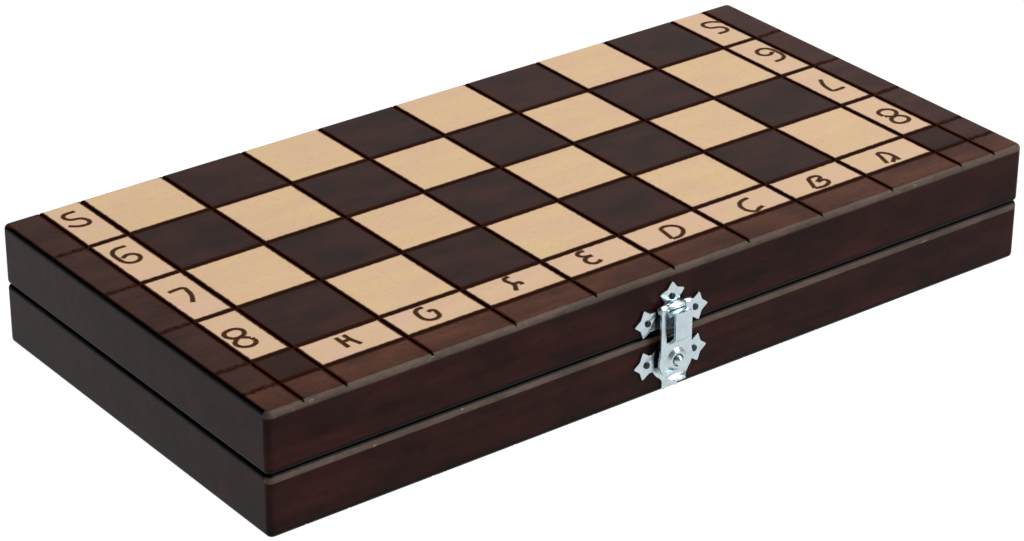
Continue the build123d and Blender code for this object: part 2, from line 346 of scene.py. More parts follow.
def pattern(tree, x, y, first_dark):
    """A mask for each part of the board, in the order in which they are brushed."""
    out = add(tree, "ShaderNodeMath", x, operation="ABSOLUTE")
    in_columns = between(tree, out, -MARGIN, FIELD)
    in_ends = between(tree, out, FIELD, FIELD + STRIP)
    in_rows = between(tree, y, ROW_END, BACK + MARGIN)
    in_strip = between(tree, y, ROW_END - STRIP, ROW_END)
    in_front = add(tree, "ShaderNodeMath", y, ROW_END - STRIP, operation="LESS_THAN")
    squares = add(tree, "ShaderNodeMath", in_columns, in_rows, operation="MULTIPLY")
    odd = odd_squares(tree, x, y, first_dark)
    dark = add(tree, "ShaderNodeMath", squares, odd, operation="MULTIPLY")
    numerals = add(tree, "ShaderNodeMath", in_ends, in_rows, operation="MULTIPLY")
    letters = add(tree, "ShaderNodeMath", in_columns, in_strip, operation="MULTIPLY")
    cells = add(tree, "ShaderNodeMath", numerals, letters, operation="ADD")
    corner = add(tree, "ShaderNodeMath", in_ends, in_strip, operation="MULTIPLY")
    masks = {"front_border": in_front, "corner": corner, "cell": cells}
    return {**masks, "pale": squares, "dark": dark}


print(f"cells: {STRIP} mm deep, the front border from y {ROW_END - STRIP:.2f} mm on")

# %% [markdown]
# ## Bare wood inside
# Only the outside is stained. Inside the trays the beech is bare, on the walls and on the backs
# of the boards. These are separate pieces in the same millimetres, so one rule serves them all:
# further in than a wall is thick, and between the two boards, the wood is bare.

# %% Find the inside
# The bare faces lie exactly at the limits, so each limit is set a hair before them.
HAIR = 0.1


def edge_distances(tree, x, y):
    """How far in the point lies from the nearest side of the box, and from its back alone."""
    out = add(tree, "ShaderNodeMath", x, operation="ABSOLUTE")
    from_end = add(tree, "ShaderNodeMath", HALF_LENGTH, out, operation="SUBTRACT")
    from_front = add(tree, "ShaderNodeMath", y, FRONT, operation="SUBTRACT")
    from_back = add(tree, "ShaderNodeMath", BACK, y, operation="SUBTRACT")
    nearest = add(tree, "ShaderNodeMath", from_end, from_front, operation="MINIMUM")
    nearest = add(tree, "ShaderNodeMath", nearest, from_back, operation="MINIMUM")
    return nearest, from_back


def inside_tray(tree, x, y, z):
    """1 on the bare faces inside a tray, and 0 on the stained outside and the rims."""
    nearest, _ = edge_distances(tree, x, y)
    deep = add(tree, "ShaderNodeMath", nearest, WALL - HAIR, operation="GREATER_THAN")
    middle = between(tree, z, BOARD_THICKNESS - HAIR, TOP - BOARD_THICKNESS + HAIR)
    return add(tree, "ShaderNodeMath", deep, middle, operation="MULTIPLY")


print("bare from", WALL, "mm in, between the two", BOARD_THICKNESS, "mm boards")

# %% [markdown]
# ## Burnt lines
# Every groove is scorched black-brown, and the heat has browned a little of the wood beside it.
# The distance to the nearest groove gives that: near 0 it is burnt, and a little past the
# groove's edge it has faded out. A noise lets the width wander as a hand tool does. The lines
# across the box are painted a lighter brown than those along it: painted light, to lift the shade
# in their grooves. Across the borders of the two ends the tool was pressed less, so the lines
# there are thin and broken.

# %% Measure to the lines


def line_distances(tree, x, y):
    """How far the nearest groove across the box and the nearest along it are."""
    out = add(tree, "ShaderNodeMath", x, operation="ABSOLUTE")
    columns = add(tree, "ShaderNodeMath", x, SQUARE / 2, operation="PINGPONG")
    end = add(tree, "ShaderNodeMath", out, FIELD + STRIP, operation="SUBTRACT")
    end = add(tree, "ShaderNodeMath", end, operation="ABSOLUTE")
    across = add(tree, "ShaderNodeMath", columns, end, operation="MINIMUM")
    depth = add(tree, "ShaderNodeMath", BACK, y, operation="SUBTRACT")
    rows = add(tree, "ShaderNodeMath", depth, SQUARE / 2, operation="PINGPONG")
    # The fold itself has no groove, so towards it the distance grows again.
    fold = add(tree, "ShaderNodeMath", SQUARE / 2, depth, operation="SUBTRACT")
    rows = add(tree, "ShaderNodeMath", rows, fold, operation="MAXIMUM")
    strip = add(tree, "ShaderNodeMath", y, ROW_END - STRIP, operation="SUBTRACT")
    strip = add(tree, "ShaderNodeMath", strip, operation="ABSOLUTE")
    along = add(tree, "ShaderNodeMath", rows, strip, operation="MINIMUM")
    return across, along


print(f"lines: {GROOVE} mm wide, the two across the ends at {FIELD + STRIP} mm from the middle")

# %% Burn the lines
SCORCH_CORE = 0.25
SCORCH_RIM = 0.95
SCORCHED = "#2e1307"
# Painted light: the lines across the box are a lighter brown, to lift the shade in their grooves.
SCORCHED_ACROSS_PAINTED_LIGHT = "#3e1d0d"
SCORCHED_ROUGHNESS = 0.75
WANDER = 0.12
WANDERS_PER_MM = 0.6
BORDER_FAINT = 0.35
BORDER_STEP = (0.4, 0.6)


def burnt_lines(tree, place, x, y):
    """How strongly the wood is burnt, from 0 to 1, and in which brown."""
    wander = add(tree, "ShaderNodeTexNoise", place, at={"Scale": WANDERS_PER_MM, "Detail": 2.0})
    thin = add(tree, "ShaderNodeMapRange", wander, *NOISE_SPAN, -WANDER, WANDER)
    across, along = line_distances(tree, x, y)
    crossing = add(tree, "ShaderNodeMath", across, along, operation="LESS_THAN")
    browns = {UNDER: tone(SCORCHED), OVER: tone(SCORCHED_ACROSS_PAINTED_LIGHT)}
    brown = add(tree, "ShaderNodeMix", crossing, at=browns, **COLOURS)
    distance = add(tree, "ShaderNodeMath", across, along, operation="MINIMUM")
    distance = add(tree, "ShaderNodeMath", distance, thin, operation="ADD")
    faded = GROOVE / 2 + SCORCH_RIM
    full = GROOVE / 2 + SCORCH_CORE
    burnt = add(tree, "ShaderNodeMapRange", distance, faded, full, **SOFT)
    out = add(tree, "ShaderNodeMath", x, operation="ABSOLUTE")
    past_end = add(tree, "ShaderNodeMath", out, FIELD + STRIP + GROOVE, operation="GREATER_THAN")
    patchy = add(tree, "ShaderNodeMapRange", wander, *BORDER_STEP, 0.0, 1.0 - BORDER_FAINT)
    weak = add(tree, "ShaderNodeMath", past_end, patchy, operation="MULTIPLY")
    kept = add(tree, "ShaderNodeMath", 1.0, weak, operation="SUBTRACT")
    return add(tree, "ShaderNodeMath", burnt, kept, operation="MULTIPLY"), brown


print("burnt", SCORCH_CORE, "mm past a groove's edge, faded out at", SCORCH_RIM, "mm")

# %% [markdown]
# ## Stained and lacquered beech
# Each stain is two tones, between which the blotches walk, and two numbers for how strongly
# bands and pores darken it. The shell is brushed with a stain so deep that it looks black until
# light falls on it. Over it all lies a thin satin lacquer. It leaves the grain open, so its
# reflection is much weaker and wider than that of a thick varnish, which the low specular level
# gives. A maker brushes one stain over another, and so does the helper here: each one covers the
# last where its mask is 1.

# %% Mix the stains
LACQUER = {"Roughness": 0.34, "Specular IOR Level": 0.06}
OPEN_GRAIN = {"Strength": 0.3, "Distance": 0.04 * MM}
PORE_SHADE = "#8a6850"
STAINS = {
    "end_border": ("#482a20", "#3a2019", 0.4, 0.5),
    "front_border": ("#5c3624", "#48281c", 0.4, 0.5),
    "corner": ("#37190f", "#28110c", 0.4, 0.5),
    "cell": ("#dcbc96", "#deb99d", 0.05, 0.10),
    "pale": ("#dfbf93", "#deba98", 0.06, 0.12),
    "dark": ("#3c1f18", "#2a1815", 0.35, 0.4),
    "shell": ("#2f1410", "#210e0c", 0.5, 0.4),
    # painted shade: almost black on the rounded edges
    "painted_edge_shade": ("#0c0504", "#080302", 0.3, 0.3),
    # partly wear, partly a painted highlight on the front edges
    "wear_and_painted_highlight": ("#5c4f47", "#4c4139", 0.3, 0.3),
    "bare": ("#d8b78c", "#cfa980", 0.35, 0.4),
}


def stain(tree, grained, first, second, banding, poring):
    """One stain: blotches walk between its two tones, then bands and pores darken it."""
    bands, pores, blotches = grained
    tones = {UNDER: tone(first), OVER: tone(second)}
    colour = add(tree, "ShaderNodeMix", blotches, at=tones, **COLOURS)
    for figure, depth in ((bands, banding), (pores, poring)):
        share = add(tree, "ShaderNodeMath", figure, depth, operation="MULTIPLY")
        at = {UNDER: colour, OVER: tone(PORE_SHADE)}
        colour = add(tree, "ShaderNodeMix", share, at=at, blend_type="MULTIPLY", **COLOURS)
    return colour


def brush(tree, grained, colour, mask, name):
    """Brushes one of the stains over a colour, where the mask is 1."""
    brushed = stain(tree, grained, *STAINS[name])
    return add(tree, "ShaderNodeMix", mask, at={UNDER: colour, OVER: brushed}, **COLOURS)


def open_grain(tree, grained):
    """A faint relief for the shader's normal: the lacquer sinks into bands and pores."""
    bands, pores, _ = grained
    relief = add(tree, "ShaderNodeMath", bands, pores, operation="SUBTRACT")
    return add(tree, "ShaderNodeBump", at={**OPEN_GRAIN, "Height": relief})


print("stains:", ", ".join(STAINS))

# %% [markdown]
# ## Painted edge shade, wear and highlight
# The rounded edges are painted almost black: painted shade, for the dark part of the room that
# they face. Only at the front, where fingers lift the lid, the edges of the lid and of the lower
# tray's rim are a lighter, greyer brown instead: partly wear, partly a painted highlight of the
# strip light, with a few small spots rubbed almost bare. This could be painted by hand, but all
# of it follows edges that run level, so a band at a height is enough. Each band below is a height
# and a reach. It is full over the first part of its reach and fades out over the rest.

# %% Paint the edge shade, the wear and the highlight
BOARD_EDGE = 2.7
RIM_EDGE = 2.5
FULL_SHARE = 0.6
# The front bands of the lid and of the rim: partly wear, partly a painted highlight of the strip light.
LID_WEAR_AND_HIGHLIGHT = (TOP, BOARD_EDGE)
RIM_WEAR_AND_HIGHLIGHT = (SEAM - 1.65, 1.15)
WEAR_AND_HIGHLIGHT_DEPTH = 2.0
WORN = "#85705f"
WORN_PATCH = (4.0, 2.0)
WORN_STEP = (0.68, 0.76)


def rubbed_spots(tree, place, edge):
    """Small spots along an edge where the stain is rubbed off. edge is 1 on the edge."""
    spots = streaks(tree, place, WORN_PATCH, detail=3.0)
    spots = add(tree, "ShaderNodeMapRange", spots, *WORN_STEP)
    return add(tree, "ShaderNodeMath", spots, edge, operation="MULTIPLY")


def near_height(tree, z, height, reach):
    """1 close to a height, fading out at this reach from it."""
    gap = add(tree, "ShaderNodeMath", z, height, operation="SUBTRACT")
    gap = add(tree, "ShaderNodeMath", gap, operation="ABSOLUTE")
    return add(tree, "ShaderNodeMapRange", gap, reach, FULL_SHARE * reach, **SOFT)


def outer_stain(tree, place, y, z, grained, painted_edge_shade_at, wear_and_painted_highlight_at):
    """The shell's stain, with painted shade along one height and, at the front, wear and a painted
    highlight along another.
    """
    # Painted shade: the rounded edges at one height are darkened almost to black.
    painted_edge_shade = near_height(tree, z, *painted_edge_shade_at)
    from_front = add(tree, "ShaderNodeMath", y, FRONT, operation="SUBTRACT")
    front = add(tree, "ShaderNodeMath", from_front, WEAR_AND_HIGHLIGHT_DEPTH, operation="LESS_THAN")
    # At the front the edges are lighter: partly wear, partly a painted highlight.
    wear_and_painted_highlight = near_height(tree, z, *wear_and_painted_highlight_at)
    wear_and_painted_highlight = add(tree, "ShaderNodeMath", wear_and_painted_highlight, front, operation="MULTIPLY")
    colour = stain(tree, grained, *STAINS["shell"])
    colour = brush(tree, grained, colour, painted_edge_shade, "painted_edge_shade")
    colour = brush(tree, grained, colour, wear_and_painted_highlight, "wear_and_painted_highlight")
    rubbed = rubbed_spots(tree, place, wear_and_painted_highlight)
    return add(tree, "ShaderNodeMix", rubbed, at={UNDER: colour, OVER: tone(WORN)}, **COLOURS)


print(f"worn: the lid's edge at {TOP} mm and the rim at {RIM_WEAR_AND_HIGHLIGHT[0]:.2f} mm")

# %% [markdown]
# ## The two boards
# The layers are the borders, the cells, the squares, the burnt lines and last the shell's stain,
# which runs over the rounded edges. Along the fold the squares reach the edge itself, so there
# it starts a little lower. Scorched wood has no gloss, so the lines are rougher than the lacquer
# round them. Both boards share one recipe. They differ in the colour of their first square and
# in the height of the face that is played on.

# %% Finish the boards
# In millimetres: half the width over which the shell's stain fades in, how far the face has
# rounded off where it starts and where it is full, and the strip along the fold that is spared.
LAP = 0.2
ROUNDED_OFF = (0.02, 0.20)
NEAR_FOLD = (6.0, 3.0)
FOLD_SPARED = 0.4


def shell_share(tree, x, y, z, outer_z):
    """1 where the shell's stain covers a board: from the start of its rounded edges."""
    nearest, from_back = edge_distances(tree, x, y)
    on_edge = add(tree, "ShaderNodeMapRange", nearest, EDGE_ROUND + LAP, EDGE_ROUND - LAP, **SOFT)
    below = add(tree, "ShaderNodeMath", z, outer_z, operation="SUBTRACT")
    below = add(tree, "ShaderNodeMath", below, operation="ABSOLUTE")
    spared = add(tree, "ShaderNodeMapRange", from_back, *NEAR_FOLD, 0.0, FOLD_SPARED)
    below = add(tree, "ShaderNodeMath", below, spared, operation="SUBTRACT")
    turned = add(tree, "ShaderNodeMapRange", below, *ROUNDED_OFF, **SOFT)
    return add(tree, "ShaderNodeMath", on_edge, turned, operation="MULTIPLY")


def stained_board(name, first_dark, outer_z):
    """The finish of one board. outer_z is the height of its playing face."""
    made, tree, shader = new_material(name, **LACQUER)
    place, (x, y, z) = millimetres(tree)
    grained = grain(tree, place)
    colour = stain(tree, grained, *STAINS["end_border"])
    for part, mask in pattern(tree, x, y, first_dark).items():
        colour = brush(tree, grained, colour, mask, part)
    burnt, brown = burnt_lines(tree, place, x, y)
    colour = add(tree, "ShaderNodeMix", burnt, at={UNDER: colour, OVER: brown}, **COLOURS)
    shell = shell_share(tree, x, y, z, outer_z)
    outside = outer_stain(tree, place, y, z, grained, (outer_z, BOARD_EDGE), LID_WEAR_AND_HIGHLIGHT)
    colour = add(tree, "ShaderNodeMix", shell, at={UNDER: colour, OVER: outside}, **COLOURS)
    colour = brush(tree, grained, colour, inside_tray(tree, x, y, z), "bare")
    playing_face = add(tree, "ShaderNodeMath", 1.0, shell, operation="SUBTRACT")
    matt = add(tree, "ShaderNodeMath", burnt, playing_face, operation="MULTIPLY")
    gloss = (0.0, 1.0, LACQUER["Roughness"], SCORCHED_ROUGHNESS)
    rough = add(tree, "ShaderNodeMapRange", matt, *gloss)
    tree.links.new(colour, shader.inputs["Base Color"])
    tree.links.new(rough, shader.inputs["Roughness"])
    tree.links.new(open_grain(tree, grained), shader.inputs["Normal"])
    print(name, len(tree.nodes), "nodes")
    return made


def finish(piece, material):
    """Gives a whole piece one material."""
    for slot in piece.material_slots:
        slot.material = material


finish(pieces["upper_board"], stained_board("stained_beech_upper", 0, TOP))
finish(pieces["lower_board"], stained_board("stained_beech_lower", 1, 0.0))

# %% [markdown]
# ## The walls
# The walls are the same beech in the shell's stain alone. They are bare inside. At the seam, where
# the two trays' rims meet, their rounded edges are painted almost black as shade, and at the front
# the lower rim is lighter, partly worn and partly a painted highlight. One finish does for all
# eight, because it follows the place and not the piece.

# %% Finish the walls


def stained_wall(name):
    """The finish of the walls: near-black stain outside, bare wood inside."""
    made, tree, shader = new_material(name, **LACQUER)
    place, (x, y, z) = millimetres(tree)
    grained = grain(tree, place)
    colour = outer_stain(tree, place, y, z, grained, (SEAM, RIM_EDGE), RIM_WEAR_AND_HIGHLIGHT)
    colour = brush(tree, grained, colour, inside_tray(tree, x, y, z), "bare")
    tree.links.new(colour, shader.inputs["Base Color"])
    tree.links.new(open_grain(tree, grained), shader.inputs["Normal"])
    return made


wall_stain = stained_wall("black_brown_stained_beech")
walls = [name for name in pieces if name.endswith("_wall")]
for name in walls:
    finish(pieces[name], wall_stain)
print("stained", len(walls), "walls")

# %% [markdown]
# ## Letters and numerals
# The coordinates are drawn by hand with a hot wire pen, so a stroke has the same width all
# along, round ends and a brown rim. Each sign here has its width and height in millimetres and
# a few strokes on a grid six wide and nine high. Curved strokes go through their points
# smoothly, straight ones keep their corners.

# %% Draw the signs
CURVED, STRAIGHT = "AUTO", "VECTOR"
SIGN_GRID = (6, 9)
SIGNS = {
    "A": (6.7, 8.8, [
        (CURVED, [(0.4, 1.1), (1.8, 5.6), (3.1, 8.6), (4.9, 6.9), (5.4, 3.8), (5, 0.6)]),
        (STRAIGHT, [(2.2, 0.6), (5.2, 3.2)]),
    ]),
    "B": (8.4, 8.3, [
        (STRAIGHT, [(2.5, 8.1), (0.5, 1.2)]),
        (CURVED, [(2.5, 8.1), (4.1, 8.5), (5.4, 7.4), (3.2, 4.3)]),
        (CURVED, [(3.2, 4.2), (5.2, 4.3), (5.5, 2.6), (4.3, 0.9), (2, 0.5), (0.5, 1.2)]),
    ]),
    "C": (7.2, 9.3, [
        (CURVED, [(5.9, 8.7), (3.2, 8.2), (1.5, 6.8), (0.6, 4.1), (1, 1.7), (2.6, 0.3), (4.1, 1.2),
                  (5.9, 1.7)]),
    ]),
    "D": (7.9, 9.5, [
        (STRAIGHT, [(1.1, 8.3), (0.4, 1.1)]),
        (CURVED, [(1.1, 8.3), (2.9, 8.8), (5.1, 7.3), (5.6, 5.3), (4.8, 3), (3.1, 1.4), (0.4, 1)]),
    ]),
    "E": (5.2, 9.1, [
        (CURVED, [(5, 8.7), (2.2, 8.6), (1.1, 6.9), (2.8, 5.4), (5.2, 4.9)]),
        (CURVED, [(5.2, 4.7), (2.2, 4.6), (0.4, 2.9), (0.9, 0.9), (3, 0.1), (5.6, 1)]),
    ]),
    "F": (5.3, 9.4, [
        (CURVED, [(4.3, 9), (1.8, 7.9), (1.9, 5.6), (2.4, 4.2), (0.4, 0.4)]),
        (CURVED, [(2.2, 3.8), (5, 4), (4.8, 2.4)]),
    ]),
    "G": (6.5, 8.6, [
        (CURVED, [(4, 8.8), (1.4, 8.2), (0.2, 4.8), (0.6, 1.4), (2.4, 0.2), (4.7, 0.9), (5.4, 2.8),
                  (5.2, 5.4), (3.6, 5.2)]),
    ]),
    "H": (5.3, 8.8, [
        (STRAIGHT, [(0.6, 8.4), (0.5, 1.2)]),
        (CURVED, [(3.8, 8.5), (4.1, 4.8), (5.4, 0.8)]),
        (STRAIGHT, [(0.6, 5.2), (3.9, 5)]),
    ]),
    "1": (4.0, 9.8, [(STRAIGHT, [(1, 6.8), (3.4, 9), (3.2, 0)])]),
    "2": (6.0, 9.8, [
        (CURVED, [(0.6, 7), (2.8, 9), (5.2, 7), (3.2, 3.2), (0.4, 0.4)]),
        (CURVED, [(0.4, 0.4), (3, 0.8), (5.8, 0.2)]),
    ]),
    "3": (5.8, 9.8, [
        (CURVED, [(0.8, 8.4), (3.2, 9), (4.9, 7), (2.4, 4.9)]),
        (CURVED, [(2.4, 4.9), (5.6, 3), (3.6, 0.1), (0.4, 1)]),
    ]),
    "4": (6.2, 9.8, [
        (STRAIGHT, [(2.4, 9), (0.4, 3.6), (5.8, 3.4)]),
        (STRAIGHT, [(4.4, 6.4), (4, 0)]),
    ]),
    "5": (7.1, 10.2, [(CURVED, [(6, 9), (2, 8.2), (2, 5.6), (5.5, 3.6), (5.7, 0.5), (3, 0), (0, 2)])]),
    "6": (6.3, 10.9, [
        (CURVED, [(6, 9.2), (2.4, 9), (0.5, 7.6), (0, 4), (0.8, 1), (3.2, 0), (5.5, 1), (6, 3.2),
                  (3.8, 4.6), (1.2, 3.6)]),
    ]),
    "7": (5.3, 9.6, [(CURVED, [(0, 9), (3.6, 9.2), (5.8, 8.9), (6, 6.6), (5.2, 3.7), (2.8, 0)])]),
    "8": (6.8, 11.8, [
        (CURVED, [(5.6, 3), (5.2, 0.8), (2.4, 0), (0.2, 2.2), (2, 4.4), (5.2, 5.6), (5.8, 7.8), (3.4, 9),
                  (0.6, 7.8), (1.2, 5.4), (3.8, 4.4), (5.4, 3.2)]),
    ]),
}
strokes_drawn = sum(len(strokes) for _, _, strokes in SIGNS.values())
print(len(SIGNS), "signs in", strokes_drawn, "strokes")

# %% [markdown]
# ## Growing a mesh from a path
# A stroke follows a path, which is what Geometry Nodes are good at. Three helpers start such a
# tree with a named input for each size, end it in real geometry with a material, and run it on a
# curve. What it grows is kept as a plain mesh, so nothing is left to work out when the piece is
# used elsewhere.

# %% Make helpers for node trees


def start_tree(name, **sizes):
    """A Geometry Nodes tree with one geometry input and a named number for each size."""
    tree = bpy.data.node_groups.new(name, "GeometryNodeTree")
    tree.interface.new_socket("Geometry", in_out="INPUT", socket_type="NodeSocketGeometry")
    for label, value in sizes.items():
        socket = tree.interface.new_socket(label, in_out="INPUT", socket_type="NodeSocketFloat")
        socket.default_value = value
    tree.interface.new_socket("Geometry", in_out="OUTPUT", socket_type="NodeSocketGeometry")
    return tree, tree.nodes.new("NodeGroupInput").outputs


def end_tree(tree, geometry, material):
    """Makes the result real geometry, smooth shaded, in one material."""
    real = add(tree, "GeometryNodeRealizeInstances", geometry)
    smooth = add(tree, "GeometryNodeSetShadeSmooth", real)
    painted = add(tree, "GeometryNodeSetMaterial", smooth, at={"Material": material})
    add(tree, "NodeGroupOutput", painted)
    print(tree.name, len(tree.nodes), "nodes")


def grow(name, source, tree, **sizes):
    """Runs a tree on a source object and keeps the result as a plain mesh object."""
    holder = bpy.data.objects.new(name + "_source", source)
    bpy.context.scene.collection.objects.link(holder)
    modifier = holder.modifiers.new("growth", "NODES")
    modifier.node_group = tree
    for item in tree.interface.items_tree:
        if item.in_out == "INPUT" and item.name in sizes:
            modifier[item.identifier] = sizes[item.name]
    bpy.context.view_layer.update()
    done = holder.evaluated_get(bpy.context.evaluated_depsgraph_get())
    mesh = bpy.data.meshes.new_from_object(done)
    bpy.data.objects.remove(holder)
    made = bpy.data.objects.new(name, mesh)
    mesh.name = name
    bpy.context.scene.collection.objects.link(made)
    print(name, len(mesh.polygons), "faces")
    return made


# %% [markdown]
# ## Scorched strokes
# A hot pen chars the middle of a stroke almost black and only browns the wood at its rim. The
# pen's tree leaves a number called rim on each point, 0 in the middle and 1 at the rim, and this
# material reads it. Charred wood is matt, rougher than the lacquer beside it.

# %% Scorch the strokes
CHARRED = {"Roughness": 0.6, "Specular IOR Level": 0.12}
CHARRED_MIDDLE = "#321705"
CHARRED_RIM = "#8a5c30"
RIM_STEP = (0.18, 0.5)
PATCHES_PER_MM = 1.4


def burnt_stroke():
    """Scorched wood, matt and almost black, browner towards the rim of a stroke."""
    made, tree, shader = new_material("scorched_wood", **CHARRED)
    rim = add(tree, "ShaderNodeAttribute", attribute_name="rim", out="Fac")
    place, _ = millimetres(tree)
    patchy = add(tree, "ShaderNodeTexNoise", place, at={"Scale": PATCHES_PER_MM, "Detail": 2.0})
    rim = add(tree, "ShaderNodeMath", rim, patchy, operation="MULTIPLY")
    rim = add(tree, "ShaderNodeMapRange", rim, *RIM_STEP, **SOFT)
    browns = {UNDER: tone(CHARRED_MIDDLE), OVER: tone(CHARRED_RIM)}
    colour = add(tree, "ShaderNodeMix", rim, at=browns, **COLOURS)
    tree.links.new(colour, shader.inputs["Base Color"])
    return made


scorched = burnt_stroke()
print("made", scorched.name)

# %% [markdown]
# ## The pen
# The tree takes the paths, cuts them finely, lets their width waver as a hand does, and sweeps a
# flat round profile along them. Flat painted strokes would do from afar, but these stand a few
# hundredths of a millimetre above the lacquer, so they stay crisp and come along with the piece.

# %% Build the pen
PEN_WIDTH = 1.7
PEN_RISE = 0.04
WAVER = 0.2
SHAKES_PER_M = 350.0
PATH_STEP = 0.35
NIB_SIDES = 12

pen_tree, (paths, pen_width, pen_rise, waver, *_) = start_tree(
    "pen_strokes", Width=PEN_WIDTH * MM, Rise=PEN_RISE * MM, Waver=WAVER
)
path_step = {"Length": PATH_STEP * MM}
fine = add(pen_tree, "GeometryNodeResampleCurve", paths, mode="LENGTH", at=path_step)
place = add(pen_tree, "GeometryNodeInputPosition")
shake = add(pen_tree, "ShaderNodeTexNoise", place, at={"Scale": SHAKES_PER_M, "Detail": 1.0})
least = add(pen_tree, "ShaderNodeMath", 1.0, waver, operation="SUBTRACT")
most = add(pen_tree, "ShaderNodeMath", 1.0, waver, operation="ADD")
shake = add(pen_tree, "ShaderNodeMapRange", shake, *NOISE_SPAN, least, most)
fine = add(pen_tree, "GeometryNodeSetCurveRadius", fine, at={"Radius": shake})
round_nib = {"Resolution": NIB_SIDES, "Radius": 1.0}
nib = add(pen_tree, "GeometryNodeCurvePrimitiveCircle", at=round_nib)
nib_place = add(pen_tree, "GeometryNodeInputPosition")
nib_x = add(pen_tree, "ShaderNodeSeparateXYZ", nib_place)
nib_rim = add(pen_tree, "ShaderNodeMath", nib_x, operation="ABSOLUTE")
nib = add(pen_tree, "GeometryNodeStoreNamedAttribute", nib, at={"Name": "rim", "Value": nib_rim})
half_width = add(pen_tree, "ShaderNodeMath", pen_width, 2.0, operation="DIVIDE")
nib_size = add(pen_tree, "ShaderNodeCombineXYZ", half_width, pen_rise, 1.0)
nib = add(pen_tree, "GeometryNodeTransform", nib, at={"Scale": nib_size})
swept = add(pen_tree, "GeometryNodeCurveToMesh", fine, nib, at={"Fill Caps": True})
end_tree(pen_tree, swept, scorched)

# %% [markdown]
# ## The layout of the signs
# Both boards carry the same layout, seen from outside: letters along the strip by the front
# edge and numerals beside each row, upright at the left and upside down at the right, where the
# other player reads them. The lower board is that layout turned over about the box's own width.
# The hand that wrote them strays from the middle of each cell, and each list below says how far
# in millimetres. Each sign also leans a little, by a draw from a seed that never changes.

# %% Find the signs' places
LETTERS_ACROSS = (0.15, -1.8, 0.15, -1.65, 0.45, 0.85, -0.75, -0.35)
LETTERS_ALONG = (1.0, 1.0, 1.0, 1.0, -1.3, -1.3, -1.3, -1.3)
LEFT_STRAY = ((-1.3, 3.7), (-0.8, 3.4), (-0.7, 0.3), (-1.8, -1.25))
RIGHT_STRAY = ((3.0, 0.4), (2.2, 1.25), (1.3, 0.3), (1.2, -1.55))


def sign_spots(letters, numerals):
    """Each sign of one board with its place and turn, as seen from outside that board."""
    spots = []
    for k, (letter, across, along) in enumerate(zip(letters, LETTERS_ACROSS, LETTERS_ALONG)):
        spots.append((letter, (k + 0.5) * SQUARE - FIELD + across, ROW_END - STRIP / 2 + along, 0))
    for side, turned, strays in ((-1, 0, LEFT_STRAY), (1, math.pi, RIGHT_STRAY)):
        for k, (numeral, (across, along)) in enumerate(zip(numerals, strays)):
            x = side * (FIELD + STRIP / 2) + across
            spots.append((numeral, x, BACK - (k + 0.5) * SQUARE + along, turned))
    return spots


print(len(sign_spots("HGFEDCBA", "5678")), "signs on each board")

# %% Write on both boards
LEAN = math.radians(2)
HAND_SEED = 64
CURVE_STEPS = 12
hand = random.Random(HAND_SEED)


def pen_paths(name, letters, numerals, onto):
    """A curve with every stroke of one board's signs, moved onto that board by a matrix."""
    curve = bpy.data.curves.new(name, "CURVE")
    curve.dimensions = "3D"
    curve.resolution_u = CURVE_STEPS
    for sign, x, y, turned in sign_spots(letters, numerals):
        width, height, strokes = SIGNS[sign]
        lean = turned + hand.uniform(-LEAN, LEAN)
        put = onto @ Matrix.Translation(Vector((x, y, 0)) * MM) @ Matrix.Rotation(lean, 4, "Z")
        for handles, points in strokes:
            spline = curve.splines.new("BEZIER")
            spline.bezier_points.add(len(points) - 1)
            for knot, (u, v) in zip(spline.bezier_points, points):
                along = (u / SIGN_GRID[0] - 0.5) * width
                up = (v / SIGN_GRID[1] - 0.5) * height
                knot.co = put @ (Vector((along, up, 0)) * MM)
                knot.handle_left_type = knot.handle_right_type = handles
    return curve


upper_paths = pen_paths("upper_signs", "HGFEDCBA", "5678", Matrix.Translation((0, 0, TOP * MM)))
lower_paths = pen_paths("lower_signs", "ABCDEFGH", "4321", Matrix.Rotation(math.pi, 4, "Y"))
for curve, body in ((upper_paths, "upper_half"), (lower_paths, "lower_half")):
    signs = grow(curve.name, curve, pen_tree, Width=PEN_WIDTH * MM, Rise=PEN_RISE * MM)
    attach(signs, body)

# %% [markdown]
# ## Bright metal
# The clasp is pressed from thin steel and zinc plated: a bluish white metal, soft in its
# reflections because the plating is a little rough, with fine scratches from handling. Behind
# the hasp the two plates are painted a dark blue grey: painted shade, for the shadow in the
# recess under the closed hasp. The hinges have the same plating, gone duller, and the nails are
# blued steel, darker than the plates. A metal shows little but its reflections, so a cloudy noise
# in its colour and in its roughness is enough. Each metal is a pale tone, a deep tone and a
# roughness.

# %% Plate the metal
ZINC = ("#ccd8dd", "#a8b7be", 0.28)
DULL_ZINC = ("#b4b7b8", "#8f9395", 0.38)
BLUED_STEEL = ("#3c4548", "#262c2f", 0.42)
# Painted shade: the plates behind the closed hasp are darkened to this blue grey.
HASP_SHADE = "#35464b"
PLATE_DEPTH = 0.9
# The closed hasp leaves the plates in view beside this much of its foot and of its head.
HASP_FOOT = 4.0
HASP_HEAD = 2.0
CLOUDS_PER_MM = 0.5
CLOUD_SPAN = (0.7, 1.3)
SMOOTHER = 0.08
ROUGHER = 0.1
SCRATCH = (6.0, 0.15)
SCRATCH_RELIEF = {"Strength": 0.2, "Distance": 0.02 * MM}


def behind_hasp(tree, x, y, z):
    """1 on the flat of the clasp's plates where the closed hasp covers them."""
    lowest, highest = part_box("latch_hasp")
    covered = between(tree, x, lowest.x / MM, highest.x / MM)
    covered_height = between(tree, z, lowest.z / MM + HASP_FOOT, highest.z / MM - HASP_HEAD)
    flat = add(tree, "ShaderNodeMath", y, FRONT - PLATE_DEPTH, operation="GREATER_THAN")
    covered = add(tree, "ShaderNodeMath", covered, covered_height, operation="MULTIPLY")
    return add(tree, "ShaderNodeMath", covered, flat, operation="MULTIPLY")


